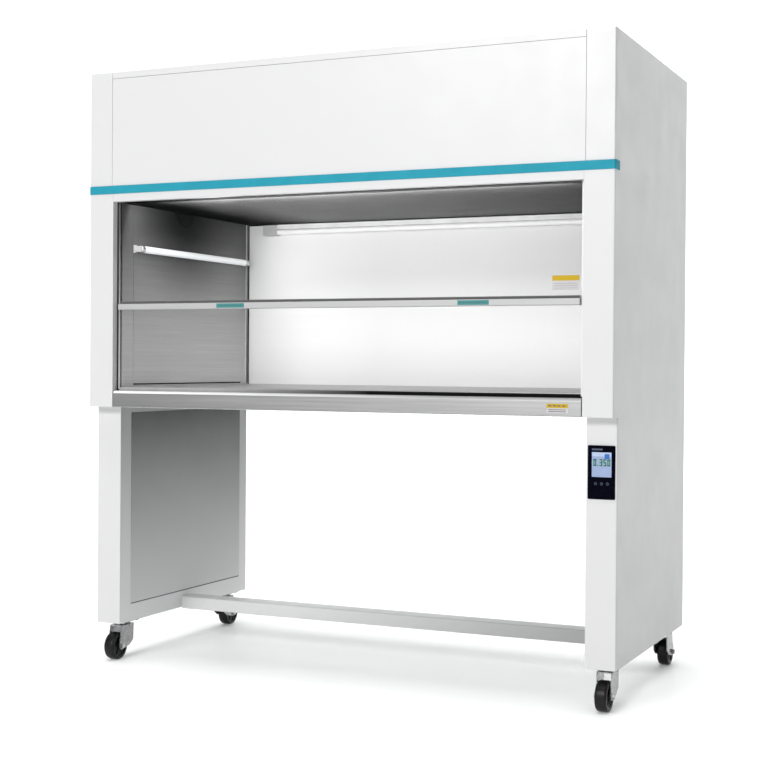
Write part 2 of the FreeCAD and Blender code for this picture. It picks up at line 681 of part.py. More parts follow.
# ---------------------------------------------------------------- the assembly
def all_nodes():
    nodes = {
        "side_panel_left": side_panel(-1),
        "side_panel_right": side_panel(1),
        "front_fascia": front_fascia(),
        "fascia_rail": fascia_rail(),
        "accent_strip": accent_strip(),
        "top_cover": top_cover(),
        "rear_cover": rear_cover(),
        "leg_housing_left": leg_housing(-1),
        "leg_housing_right": leg_housing(1),
        "leg_panels": leg_panels(),
        "cross_bar": cross_bar(),
        "chamber_wall_left": chamber_wall(-1),
        "chamber_wall_right": chamber_wall(1),
        "chamber_back_wall": chamber_back_wall(),
        "diffuser_plate": diffuser_plate(),
        "worktop": worktop(),
        "worktop_apron": worktop_apron(),
        "worktop_seal": worktop_seal(),
        "base_pan": base_pan(),
        "prefilter": prefilter(),
        "fan_plenum": fan_plenum(),
        "fan_motor": fan_motor(),
        "impeller": impeller(),
        "hepa_frame": hepa_frame(),
        "hepa_media": hepa_media(),
        "sash_glass": sash_glass(),
        "sash_handle": sash_handle(),
        "sash_guides": sash_guides(),
        "sash_carriers": sash_carriers(),
        "sash_cables": sash_cables(),
        "cable_wraps": cable_wraps(),
        "weight_cable_left": weight_cable(-1),
        "weight_cable_right": weight_cable(1),
        "counterweight_left": counterweight(-1),
        "counterweight_right": counterweight(1),
        "pulley_left": pulley(-1),
        "pulley_right": pulley(1),
        "pulley_brackets": pulley_brackets(),
        "uv_lamp_tube": uv_lamp_tube(),
        "uv_lamp_holders": uv_lamp_holders(),
        "led_lamp_tube": led_lamp_tube(),
        "led_lamp_housing": led_lamp_housing(),
        "control_bezel": control_bezel(),
        "control_screen": control_screen(),
        "electronics_box": electronics_box(),
        "mains_inlet": mains_inlet(),
        "caster_plates": caster_plates(),
        "panel_screws": panel_screws(),
    }
    for name, cx, cy, way in caster_centres():
        nodes["caster_fork_" + name] = caster_fork(cx, cy, way)
        nodes["caster_axle_" + name] = caster_axle(cx, cy, way)
        nodes["caster_wheel_" + name] = caster_wheel(cx, cy, way)
    return nodes


def main():
    os.makedirs("parts", exist_ok=True)
    for name, shape in all_nodes().items():
        shape.exportStep("parts/" + name + ".step")


main()
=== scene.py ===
import json
import math

import bmesh
import bpy
from mathutils import Matrix, Vector


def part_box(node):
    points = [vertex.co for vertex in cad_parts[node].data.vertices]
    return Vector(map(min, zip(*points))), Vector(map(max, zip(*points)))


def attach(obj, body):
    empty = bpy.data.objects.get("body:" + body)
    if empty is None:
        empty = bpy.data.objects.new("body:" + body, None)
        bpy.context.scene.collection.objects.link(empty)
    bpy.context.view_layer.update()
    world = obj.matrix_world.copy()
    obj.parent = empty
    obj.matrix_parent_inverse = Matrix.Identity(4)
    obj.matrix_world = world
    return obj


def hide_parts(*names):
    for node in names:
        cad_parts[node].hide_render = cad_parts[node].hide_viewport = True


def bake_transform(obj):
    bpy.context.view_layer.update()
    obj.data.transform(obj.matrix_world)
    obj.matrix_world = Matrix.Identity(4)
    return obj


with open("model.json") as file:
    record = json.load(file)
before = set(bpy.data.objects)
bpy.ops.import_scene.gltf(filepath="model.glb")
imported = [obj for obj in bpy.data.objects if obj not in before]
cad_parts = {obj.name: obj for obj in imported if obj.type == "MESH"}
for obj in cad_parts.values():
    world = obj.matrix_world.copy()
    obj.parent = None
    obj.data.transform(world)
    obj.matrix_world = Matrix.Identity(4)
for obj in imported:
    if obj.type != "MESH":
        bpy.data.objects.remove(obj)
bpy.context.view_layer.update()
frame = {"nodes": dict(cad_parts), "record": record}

NODES = frame["nodes"]
ROOT = "cabinet"              # the body of everything that stands still
CORNERS = ("front_left", "front_right", "rear_left", "rear_right")
X = 0                         # axis numbers
Z = 2
FORWARD = (0, -1, 0)          # out of the front of the cabinet

# sizes of the CAD parts that pieces have to meet, in metres
GRIP_STEP = 0.008             # depth of the step in the sash grip
FLANGE_SHEET = 0.0015         # sheet thickness of the back wall's flanges
RAISED_FIELD = 0.001          # how far the side liners stand proud
BACK_WALL_FACE = 0.358        # y of the back wall, chamber side
WORKTOP_TOP = 0.764           # z of the worktop


# ---------------------------------------------------------------- node helpers
def srgb(r, g, b):
    """Linear colour of an 8-bit display colour."""
    out = []
    for v in (r, g, b):
        c = v / 255.0
        out.append(c / 12.92 if c <= 0.04045 else ((c + 0.055) / 1.055) ** 2.4)
    return (out[0], out[1], out[2], 1.0)


class Mat:
    """A principled material with a few shorthand node builders."""

    def __init__(self, name, color, rough=0.5, metal=0.0):
        self.mat = bpy.data.materials.new(name)
        self.mat.use_nodes = True
        self.tree = self.mat.node_tree
        self.bsdf = self.tree.nodes["Principled BSDF"]
        self.bsdf.inputs["Base Color"].default_value = color
        self.bsdf.inputs["Roughness"].default_value = rough
        self.bsdf.inputs["Metallic"].default_value = metal
        self.coord = self.tree.nodes.new("ShaderNodeTexCoord")
        self.heights = []

    def put(self, kind, **inputs):
        """A new node with some inputs set: an underscore stands for a blank in their names."""
        node = self.tree.nodes.new(kind)
        for key, value in inputs.items():
            node.inputs[key.replace("_", " ")].default_value = value
        return node

    def link(self, a, b):
        self.tree.links.new(a, b)

    def space(self, scale=(1, 1, 1)):
        """The object's own coordinates, scaled axis by axis."""
        node = self.put("ShaderNodeMapping")
        node.inputs["Scale"].default_value = scale
        self.link(self.coord.outputs["Object"], node.inputs["Vector"])
        return node.outputs["Vector"]

    def noise(self, scale, detail=3.0, rough=0.5, stretch=(1, 1, 1)):
        """Noise fixed to the object. A small stretch factor draws it out along that axis."""
        node = self.put("ShaderNodeTexNoise", Scale=scale, Detail=detail, Roughness=rough)
        self.link(self.space(stretch), node.inputs["Vector"])
        return node.outputs["Fac"]

    def span(self, value, low, high, to_low, to_high):
        """Maps one range onto another and holds the ends."""
        node = self.put("ShaderNodeMapRange")
        for i, v in enumerate((low, high, to_low, to_high)):
            node.inputs[i + 1].default_value = v
        self.link(value, node.inputs[0])
        return node.outputs[0]

    def drift(self, value, to_low=0.0, to_high=1.0):
        """Maps the middle range of a noise, where nearly all of it lies, onto another range."""
        return self.span(value, 0.3, 0.7, to_low, to_high)

    def math(self, op, a, b=None, clamp=False):
        """A math node. Either input is a number or a socket."""
        node = self.tree.nodes.new("ShaderNodeMath")
        node.operation = op
        node.use_clamp = clamp
        for i, v in enumerate((a, b)):
            if v is None:
                continue
            if isinstance(v, (int, float)):
                node.inputs[i].default_value = v
            else:
                self.link(v, node.inputs[i])
        return node.outputs[0]

    def mix(self, fac, a, b):
        """Two colours mixed by a factor. Each is a value or a socket."""
        node = self.tree.nodes.new("ShaderNodeMix")
        node.data_type = "RGBA"
        if isinstance(fac, (int, float)):
            node.inputs[0].default_value = fac
        else:
            self.link(fac, node.inputs[0])
        for slot, v in ((6, a), (7, b)):
            if isinstance(v, tuple):
                node.inputs[slot].default_value = v
            else:
                self.link(v, node.inputs[slot])
        return node.outputs[2]

    def base(self, socket):
        self.link(socket, self.bsdf.inputs["Base Color"])

    def roughness(self, socket):
        self.link(socket, self.bsdf.inputs["Roughness"])

    def bump(self, height, strength, distance):
        """Adds relief on top of any that is there already."""
        node = self.put("ShaderNodeBump", Strength=strength, Distance=distance)
        self.link(height, node.inputs["Height"])
        if self.heights:
            self.link(self.heights[-1], node.inputs["Normal"])
        self.heights.append(node.outputs["Normal"])
        self.link(node.outputs["Normal"], self.bsdf.inputs["Normal"])

    def set(self, **inputs):
        """Sets inputs of the shader itself."""
        for key, value in inputs.items():
            self.bsdf.inputs[key.replace("_", " ")].default_value = value
        return self


def shade(color, k):
    """A colour made darker or lighter by a factor."""
    return (color[0] * k, color[1] * k, color[2] * k, 1.0)


def powder_coat(name, color, rough=0.42, tone=0.03):
    """Baked paint: orange peel, slow gloss drift and a little handling soil."""
    m = Mat(name, color, rough)
    cloud = m.noise(2.2, 4.0, 0.55)
    soil = m.noise(9.0, 5.0, 0.6)
    base = m.mix(m.drift(cloud), shade(color, 1.0 - tone), color)
    base = m.mix(m.span(soil, 0.62, 0.85, 0.0, 0.5), base, shade(color, 1.0 - 2.2 * tone))
    m.base(base)
    m.roughness(m.drift(m.noise(14.0, 3.0), rough - 0.05, rough + 0.06))
    m.bump(m.noise(520.0, 2.0), 0.10, 0.0004)
    m.bump(m.noise(60.0, 1.0), 0.04, 0.0008)
    m.set(Coat_Weight=0.12, Coat_Roughness=0.2)
    return m.mat


def brushed(name, color, rough=0.34, along="X", metal=1.0, depth=0.35, tone=0.16, streaks=260.0):
    """Brushed metal: long fine streaks along one axis, with slow tone drift."""
    grain = {"X": (0.012, 1, 1), "Y": (1, 0.012, 1), "Z": (1, 1, 0.012)}[along]
    m = Mat(name, color, rough, metal)
    fine = m.noise(streaks, 3.0, 0.7, grain)
    broad = m.noise(streaks * 0.14, 2.0, 0.6, grain)
    cloud = m.noise(1.6, 3.0)
    base = m.mix(m.drift(fine), shade(color, 1.0 - tone), shade(color, 1.0 + tone * 0.5))
    base = m.mix(m.span(broad, 0.35, 0.65, 0.0, 0.35), base, shade(color, 1.0 - tone))
    base = m.mix(m.span(cloud, 0.35, 0.7, 0.0, 0.25), base, shade(color, 1.0 - tone * 1.2))
    m.base(base)
    m.roughness(m.drift(fine, rough - 0.06, rough + 0.10))
    m.bump(fine, depth, 0.00025)
    return m.mat


def moulded(name, color, rough=0.45, grain=700.0, depth=0.10, tone=0.08, **more):
    """Moulded plastic or rubber: fine spark texture and slight tone drift."""
    m = Mat(name, color, rough)
    drift = m.drift(m.noise(25.0, 4.0))
    m.base(m.mix(drift, shade(color, 1.0 - tone), shade(color, 1.0 + tone)))
    m.roughness(m.drift(m.noise(80.0, 3.0), rough - 0.06, rough + 0.08))
    m.bump(m.noise(grain, 2.0), depth, 0.0003)
    m.set(**more)
    return m.mat


def zinc_plate(name, color, rough=0.22):
    """Bright zinc: cloudy tone, small crystals in the gloss and tiny pits."""
    m = Mat(name, color, rough, 1.0)
    cell = m.put("ShaderNodeTexVoronoi", Scale=230.0)
    m.link(m.space(), cell.inputs["Vector"])
    cloud = m.drift(m.noise(90.0, 4.0, 0.6))
    m.base(m.mix(cloud, shade(color, 0.72), shade(color, 1.08)))
    m.roughness(m.span(cell.outputs["Distance"], 0.0, 0.6, rough, rough + 0.16))
    m.bump(m.noise(420.0, 3.0), 0.12, 0.0003)
    return m.mat


def wheel_rubber(name, color):
    """Black tread: patches of dust, uneven gloss and mould grain."""
    m = Mat(name, color, 0.5)
    dust = m.span(m.noise(55.0, 5.0, 0.65), 0.6, 0.85, 0.0, 0.2)
    m.base(m.mix(dust, color, (0.05, 0.048, 0.045, 1.0)))
    m.roughness(m.drift(m.noise(120.0, 4.0), 0.30, 0.45))
    m.set(Specular_IOR_Level=0.25)
    m.bump(m.noise(600.0, 3.0), 0.18, 0.0004)
    return m.mat


def perforated(name, color, rough=0.3, pitch=0.004, hole=0.0010):
    """Steel sheet punched with small staggered holes, drawn from the sheet's own plane."""
    m = Mat(name, color, rough, 1.0)
    split = m.put("ShaderNodeSeparateXYZ")
    m.link(m.coord.outputs["Object"], split.inputs[0])
    rows = pitch * 0.866          # half the root of three: staggered at 60 degrees

    def cell(value, size, shift):
        scaled = m.math("ADD", m.math("DIVIDE", value, size), shift)
        return m.math("MULTIPLY", m.math("SUBTRACT", m.math("FRACT", scaled), 0.5), size)

    found = None
    for shift_x, shift_y in ((0.0, 0.0), (0.5, 0.5)):
        dx = cell(split.outputs[0], pitch, shift_x)
        dy = cell(split.outputs[1], rows * 2, shift_y)
        r = m.math("SQRT", m.math("ADD", m.math("MULTIPLY", dx, dx), m.math("MULTIPLY", dy, dy)))
        inside = m.math("LESS_THAN", r, hole)
        found = inside if found is None else m.math("MAXIMUM", found, inside)
    grain = m.noise(240.0, 3.0, 0.7, (0.012, 1, 1))
    steel = m.mix(m.drift(grain), shade(color, 0.82), shade(color, 1.08))
    m.base(m.mix(m.math("MULTIPLY", found, 0.6), steel, (0.004, 0.004, 0.004, 1.0)))
    m.roughness(m.math("ADD", m.drift(grain, rough - 0.05, rough + 0.08),
                       m.math("MULTIPLY", found, 0.5), True))
    m.bump(m.math("SUBTRACT", 1.0, found), 0.12, 0.0003)
    return m.mat


def glowing(name, color, strength):
    """A lit surface: the colour shines a little, evenly, under slight tone and gloss drift."""
    m = Mat(name, color, 0.35)
    m.bsdf.inputs["Emission Color"].default_value = color
    m.bsdf.inputs["Emission Strength"].default_value = strength
    m.base(m.mix(m.drift(m.noise(40.0, 3.0)), shade(color, 0.94), color))
    m.roughness(m.drift(m.noise(90.0), 0.3, 0.4))
    m.bump(m.noise(300.0), 0.05, 0.0002)
    return m.mat


def sash_glass_material(name):
    """Toughened pane: almost clear, faint grey body, with slight wipe marks in the gloss."""
    m = Mat(name, (0.05, 0.056, 0.055, 1.0), 0.03)
    wipe = m.noise(3.0, 6.0, 0.7, (1, 1, 0.35))
    marks = m.drift(wipe)
    m.base(m.mix(marks, (0.045, 0.050, 0.049, 1.0), (0.055, 0.062, 0.061, 1.0)))
    m.roughness(m.span(wipe, 0.35, 0.75, 0.02, 0.07))
    m.bump(m.noise(2.0, 2.0), 0.02, 0.0005)
    m.set(Alpha=0.035, IOR=1.45)
    return m.mat


def pleated(name, color):
    """Filter paper: fibres and uneven tone."""
    m = Mat(name, color, 0.85)
    m.base(m.mix(m.drift(m.noise(180.0, 5.0, 0.7)), shade(color, 0.88), color))
    m.roughness(m.drift(m.noise(60.0), 0.8, 0.92))
    m.bump(m.noise(900.0, 4.0, 0.7), 0.4, 0.0005)
    return m.mat


def toned(mat, factor):
    """Multiplies a finished material's base colour by a factor socket."""
    tree = mat.node_tree
    bsdf = tree.nodes["Principled BSDF"]
    scale = tree.nodes.new("ShaderNodeVectorMath")
    scale.operation = "SCALE"
    tree.links.new(bsdf.inputs["Base Color"].links[0].from_socket, scale.inputs[0])
    tree.links.new(factor, scale.inputs["Scale"])
    tree.links.new(scale.outputs[0], bsdf.inputs["Base Color"])
    return mat


def ramp(tree, value, start, end, k_start, k_end, smooth=False):
    """A factor that runs from k_start to k_end while the value runs from start to end."""
    node = tree.nodes.new("ShaderNodeMapRange")
    if smooth:
        node.interpolation_type = "SMOOTHSTEP"
    for i, v in enumerate((start, end, k_start, k_end)):
        node.inputs[i + 1].default_value = v
    tree.links.new(value, node.inputs[0])
    return node.outputs[0]


def graded(mat, axis, start, end, k_start, k_end, both_ways=False):
    """Tones a finished material along one axis of the object."""
    tree = mat.node_tree
    coord = tree.nodes.new("ShaderNodeTexCoord")
    split = tree.nodes.new("ShaderNodeSeparateXYZ")
    tree.links.new(coord.outputs["Object"], split.inputs[0])
    value = split.outputs[axis]
    if both_ways:
        size = tree.nodes.new("ShaderNodeMath")
        size.operation = "ABSOLUTE"
        tree.links.new(value, size.inputs[0])
        value = size.outputs[0]
    return toned(mat, ramp(tree, value, start, end, k_start, k_end))


def patched(mat, centre, reach, k_middle):
    """Darkens a finished material softly round one place, the same on both sides of the object."""
    tree = mat.node_tree
    coord = tree.nodes.new("ShaderNodeTexCoord")
    size = tree.nodes.new("ShaderNodeVectorMath")
    size.operation = "MULTIPLY"
    size.inputs[1].default_value = (0.0, 1.0, 1.0)
    tree.links.new(coord.outputs["Object"], size.inputs[0])
    away = tree.nodes.new("ShaderNodeVectorMath")
    away.operation = "DISTANCE"
    away.inputs[1].default_value = (0.0, centre[0], centre[1])
    tree.links.new(size.outputs[0], away.inputs[0])
    return toned(mat, ramp(tree, away.outputs["Value"], 0.0, reach, k_middle, 1.0, True))


# ---------------------------------------------------------------- materials
def grey(level):
    """A neutral base colour."""
    return (level, level, level, 1.0)


MATS = {
    "white_paint": powder_coat("white_paint", (0.592, 0.590, 0.597, 1.0), 0.42, 0.012),
    "teal_plastic": moulded("teal_plastic", srgb(26, 138, 158), 0.6, 500.0, 0.05, 0.05,
                            Specular_IOR_Level=0.25),
    "chamber_steel": brushed("chamber_steel", grey(0.62), 0.42, "Y", 0.6),
    "wall_steel": brushed("wall_steel", grey(0.56), 0.42, "Y", 0.6),
    "worktop_steel": brushed("worktop_steel", grey(0.37), 0.42, "Y", 0.6),
    "flange_steel": brushed("flange_steel", grey(0.26), 0.5, "Z", 0.4),
    "edge_steel": brushed("edge_steel", (0.62, 0.62, 0.625, 1.0), 0.5, "X", 0.2, 0.1, 0.06),
    "liner_light": brushed("liner_light", grey(0.70), 0.5, "Z", 0.1, 0.1, 0.06),
    "back_steel": brushed("back_steel", grey(0.93), 0.55, "X", 0.1, 0.1, 0.02),
    "apron_steel": brushed("apron_steel", grey(0.27), 0.42, "X", 0.85),
    "ceiling_steel": perforated("ceiling_steel", grey(0.80), 0.30),
    "leg_paint": powder_coat("leg_paint", (0.70, 0.70, 0.705, 1.0)),
    "leg_border": powder_coat("leg_border", (0.72, 0.72, 0.725, 1.0)),
    "bar_paint": powder_coat("bar_paint", (0.655, 0.655, 0.66, 1.0)),
    "galvanised": zinc_plate("galvanised", (0.62, 0.63, 0.64, 1.0), 0.38),
    "black_rubber": moulded("black_rubber", grey(0.008), 0.75, 400.0, 0.2, 0.2,
                            Specular_IOR_Level=0.15),
    "filter_cloth": pleated("filter_cloth", (0.70, 0.74, 0.76, 1.0)),
    "motor_iron": powder_coat("motor_iron", (0.03, 0.03, 0.033, 1.0), 0.4, 0.2),
    "fan_aluminium": brushed("fan_aluminium", (0.72, 0.73, 0.74, 1.0), 0.35, "X"),
    "filter_paper": pleated("filter_paper", (0.88, 0.88, 0.84, 1.0)),
    "clear_glass": sash_glass_material("clear_glass"),
    "grip_aluminium": brushed("grip_aluminium", (0.43, 0.43, 0.435, 1.0), 0.5, "X", 0.3, 0.2, 0.06),
    "guide_black": moulded("guide_black", (0.010, 0.010, 0.011, 1.0), 0.5, 300.0, 0.08, 0.2),
    "cable_steel": brushed("cable_steel", grey(0.5), 0.3, "Z", 1.0, 0.5, 0.3, 900.0),
    "weight_steel": brushed("weight_steel", (0.33, 0.33, 0.34, 1.0), 0.45, "Z"),
    "pulley_nylon": moulded("pulley_nylon", (0.74, 0.72, 0.66, 1.0), 0.4, 300.0, 0.1),
    "lamp_glass": glowing("lamp_glass", (0.78, 0.80, 0.81, 1.0), 0.45),
    "holder_white": moulded("holder_white", (0.57, 0.57, 0.565, 1.0), 0.4),
    "led_glow": glowing("led_glow", grey(0.80), 0.30),
    "led_body": moulded("led_body", grey(0.80), 0.42),
    "panel_black": moulded("panel_black", (0.0010, 0.0012, 0.0050, 1.0), 0.25, 900.0, 0.01, 0.15,
                           Specular_IOR_Level=0.02),
    "screen_glass": glowing("screen_glass", srgb(136, 152, 186), 0.10),
    "box_steel": powder_coat("box_steel", (0.30, 0.31, 0.33, 1.0), 0.45, 0.1),
    "inlet_black": moulded("inlet_black", grey(0.012), 0.42),
    "zinc": zinc_plate("zinc", (0.36, 0.36, 0.365, 1.0), 0.16),
    "bolt_steel": zinc_plate("bolt_steel", grey(0.58), 0.28),
    "wheel_black": wheel_rubber("wheel_black", grey(0.0035)),
    "seal_black": moulded("seal_black", grey(0.004), 0.8, 400.0, 0.1, 0.05, Specular_IOR_Level=0.1),
}

# Each row: material, axis, where the tone starts and ends in metres, the factors on the base
# colour there, and whether it is the same on both sides of the middle. All rows except the LED
# brackets' row paint light, shade, reflections and highlights into the base colour.
TONES = (
    # painted shade: the outer side faces a tenth darker than the front
    ("white_paint", X, 0.7375, 0.7396, 1.0, 0.90, True),
    # painted reflection and shade: the chamber side walls darker towards the top
    ("wall_steel", Z, 0.80, 1.20, 1.25, 0.30, False),
    # painted highlight: the apron's round lighter towards the left
    ("edge_steel", X, -0.60, 0.30, 1.45, 0.58, False),
    # painted light: the back wall lighter towards its left end
    ("back_steel", X, -0.65, -0.20, 1.05, 0.86, False),
    # painted shade: the back wall darker towards the bottom
    ("back_steel", Z, 0.80, 1.05, 0.88, 1.0, False),
    # painted reflection: the apron lighter towards the right
    ("apron_steel", X, -0.65, 0.50, 0.98, 1.5, False),
    # painted reflection: the ceiling nearly black at its left end
    ("ceiling_steel", X, -0.57, -0.36, 0.02, 1.15, False),
    # painted reflection: the ceiling half as bright at its right end
    ("ceiling_steel", X, 0.0, 0.65, 1.0, 0.5, False),
    # painted shade: the leg panels darker towards the top, under the worktop
    ("leg_paint", Z, 0.12, 0.69, 0.92, 0.09, False),
    # painted shade: the leg housings darker towards the top, under the worktop
    ("leg_border", Z, 0.12, 0.69, 1.0, 0.36, False),
    # painted shade: the cross bar darker towards its right end
    ("bar_paint", X, -0.30, 0.66, 1.0, 0.42, False),
    ("led_body", X, 0.5365, 0.5375, 1.0, 0.66, True),
    # painted highlight: the black seal grey towards the left
    ("seal_black", X, -0.35, 0.10, 95.0, 1.0, False),
)
for slot_name, axis, start, end, k_start, k_end, both_ways in TONES:
    graded(MATS[slot_name], axis, start, end, k_start, k_end, both_ways)

# Painted shade and reflection: the side walls are darkest at their top, a little in front of the middle.
DARK_PLACE = (-0.02, 1.28)              # y and z
DARK_REACH = 0.33
DARK_FACTOR = 0.03
patched(MATS["wall_steel"], DARK_PLACE, DARK_REACH, DARK_FACTOR)

# Each row: material, specular level, grey of the specular tint. None of them has a coat.
DULL = (("ceiling_steel", 0.1, 0.04), ("wall_steel", 0.1, 0.2), ("leg_paint", 0.2, 1.0))
for slot_name, level, tint in DULL:
    shader = MATS[slot_name].node_tree.nodes["Principled BSDF"].inputs
    shader["Specular IOR Level"].default_value = level
    shader["Specular Tint"].default_value = grey(tint)
    shader["Coat Weight"].default_value = 0.0

# CAD nodes whose visible finish differs from the slot that the record gives them. Apart from the worktop,
# each takes a copy of a finish that TONES paints with shade, reflections and highlights.
OWN_FINISH_AND_SHADE = {
    "worktop": "worktop_steel",
    "worktop_apron": "apron_steel",
    "worktop_seal": "seal_black",
    "chamber_wall_left": "wall_steel",
    "chamber_wall_right": "wall_steel",
    "leg_housing_left": "leg_border",
    "leg_housing_right": "leg_border",
    "leg_panels": "leg_paint",
    "cross_bar": "bar_paint",
}


def paint_nodes():
    """Gives every CAD node its finish."""
    slots = {s["node"]: s["material_slot"] for s in frame["record"]["subparts"]}
    slots.update(OWN_FINISH_AND_SHADE)
    for name, obj in NODES.items():
        mat = MATS[slots[name]]
        if len(obj.material_slots) == 0:
            obj.data.materials.append(mat)
        for slot in obj.material_slots:
            slot.material = mat


# Width of the rounded edges in millimetres.
EDGE_WIDTHS = {
    "side_panel_left": 0.8, "side_panel_right": 0.8, "front_fascia": 0.8, "fascia_rail": 0.6,
    "accent_strip": 0.5, "top_cover": 0.5, "leg_housing_left": 0.5, "leg_housing_right": 0.5,
    "leg_panels": 0.4, "worktop": 0.5, "sash_handle": 0.5, "control_bezel": 0.4,
    "counterweight_left": 1.0, "counterweight_right": 1.0, "sash_carriers": 0.6,
    "electronics_box": 0.6, "mains_inlet": 0.3,
}
for corner in CORNERS:
    EDGE_WIDTHS["caster_fork_" + corner] = 0.5
    EDGE_WIDTHS["caster_axle_" + corner] = 0.3


def round_edges():
    """Small rounded edges on the folded sheets and machined parts."""
    for name, width in EDGE_WIDTHS.items():
        mod = NODES[name].modifiers.new("edge", "BEVEL")
        mod.width = width / 1000.0
        mod.segments = 2
        mod.limit_method = "ANGLE"
        mod.angle_limit = math.radians(40)
        mod.harden_normals = False


# ---------------------------------------------------------------- mesh helpers
def piece(name, build, mat, body, smooth=35):
    """A mesh object from a bmesh builder, riding on a body."""
    bm = bmesh.new()
    build(bm)
    bmesh.ops.recalc_face_normals(bm, faces=bm.faces)
    mesh = bpy.data.meshes.new(name)
    bm.to_mesh(mesh)
    bm.free()
    mesh.materials.append(mat)
    obj = bpy.data.objects.new(name, mesh)
    bpy.context.scene.collection.objects.link(obj)
    if smooth:
        for poly in mesh.polygons:
            poly.use_smooth = True
        mesh.set_sharp_from_angle(angle=math.radians(smooth))
    if body:
        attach(obj, body)
    return obj


def add_block(bm, low, high, bevel=0.0):
    """A box between two corners, with its edges rounded if a bevel is given."""
    made = bmesh.ops.create_cube(bm, size=1.0)["verts"]
    size = [h - l for l, h in zip(low, high)]
    mid = [(h + l) / 2 for l, h in zip(low, high)]
    for v in made:
        v.co = Vector([v.co[i] * size[i] + mid[i] for i in range(3)])
    if bevel > 0:
        edges = list({e for v in made for e in v.link_edges})
        bmesh.ops.bevel(bm, geom=edges, offset=bevel, segments=2, affect="EDGES", profile=0.5)


def add_lathe(bm, profile, centre, axis, steps=48):
    """Revolves (radius, along) pairs about an axis through the centre."""
    a = Vector(axis).normalized()
    side = a.orthogonal().normalized()
    other = a.cross(side)
    rings = []
    for r, t in profile:
        ring = []
        if r < 1e-7:
            ring.append(bm.verts.new(Vector(centre) + a * t))
        else:
            for i in range(steps):
                w = 2 * math.pi * i / steps
                out = (side * math.cos(w) + other * math.sin(w)) * r
                ring.append(bm.verts.new(Vector(centre) + a * t + out))
        rings.append(ring)
    for p, q in zip(rings, rings[1:]):
        for i in range(steps):
            j = (i + 1) % steps
            if len(p) == 1 and len(q) == 1:
                continue
            if len(p) == 1:
                bm.faces.new((p[0], q[i], q[j]))
            elif len(q) == 1:
                bm.faces.new((p[i], p[j], q[0]))
            else:
                bm.faces.new((p[i], p[j], q[j], q[i]))


def add_plate(bm, corners, thick, normal):
    """A thin plate from four or more corners, raised along the normal."""
    n = Vector(normal).normalized() * thick
    low = [bm.verts.new(Vector(c)) for c in corners]
    high = [bm.verts.new(Vector(c) + n) for c in corners]
    bm.faces.new(low)
    bm.faces.new(high)
    count = len(corners)
    for i in range(count):
        j = (i + 1) % count
        bm.faces.new((low[i], low[j], high[j], high[i]))


def rounded_rect(x0, x1, z0, z1, y, r, steps):
    """Corner points of an upright rectangle with rounded corners."""
    points = []
    corners = ((x1 - r, z1 - r, 0), (x0 + r, z1 - r, 90), (x0 + r, z0 + r, 180), (x1 - r, z0 + r, 270))
    for cx, cz, start in corners:
        for i in range(steps + 1):
            a = math.radians(start + 90.0 * i / steps)
            points.append((cx + r * math.cos(a), y, cz + r * math.sin(a)))
    return points


def add_patch(bm, x0, x1, z0, z1, y, r, steps, thick):
    """A thin plate with rounded corners that faces forward."""
    add_plate(bm, rounded_rect(x0, x1, z0, z1, y, r, steps), thick, FORWARD)


def on_side(s, a, b):
    """The x range between a and b from the middle, on the left (-1) or right (1), low end first."""
    return sorted((s * a, s * b))


# ---------------------------------------------------------------- labels
LABEL_TEAL = moulded("label_teal", srgb(66, 128, 127), 0.5, 300.0, 0.03, 0.04, Specular_IOR_Level=0.2)
LABEL_YELLOW = moulded("label_yellow", srgb(184, 152, 24), 0.5, 300.0, 0.03, 0.04,
                       Specular_IOR_Level=0.2)
LABEL_WHITE = moulded("label_white", srgb(184, 182, 184), 0.5, 300.0, 0.03, 0.03)
CHANNEL_GREY = moulded("channel_grey", grey(0.10), 0.6, 400.0, 0.1, 0.1, Specular_IOR_Level=0.2)
LABEL_INK = moulded("label_ink", srgb(84, 84, 82), 0.5, 300.0, 0.03, 0.03)

GRIP_LABELS = (("grip_label_left", -0.342, -0.258), ("grip_label_right", 0.343, 0.425))
GLASS_LABEL = (0.581, 0.648)            # x range of the label on the pane
GLASS_BANDS = (1.009, 1.0315, 1.044)    # z: foot, where white meets yellow, top
APRON_LABEL = (0.577, 0.630)
APRON_BANDS = (0.716, 0.7278, 0.738)
GRIP_BAND = (0.0025, 0.0140)            # z of the grip labels, above the foot of the grip
STICKER = 0.00025                       # thickness of a label
INK = 0.0001                            # thickness of a printed rule
INK_GAP = 0.00001                       # between a label and its rules, so that they don't share a face


def sticker(name, x0, x1, z0, z1, y, mat, body):
    """One plain band of a label."""
    return piece(name, lambda bm: add_patch(bm, x0, x1, z0, z1, y, 0.0006, 3, STICKER), mat, body, 0)


def rules(bm, x0, x1, places, tall, face):
    """Plain printed rules, standing for text that is left out."""
    for z in places:
        add_patch(bm, x0, x1, z, z + tall, face - STICKER - INK_GAP, 0.0003, 2, INK)


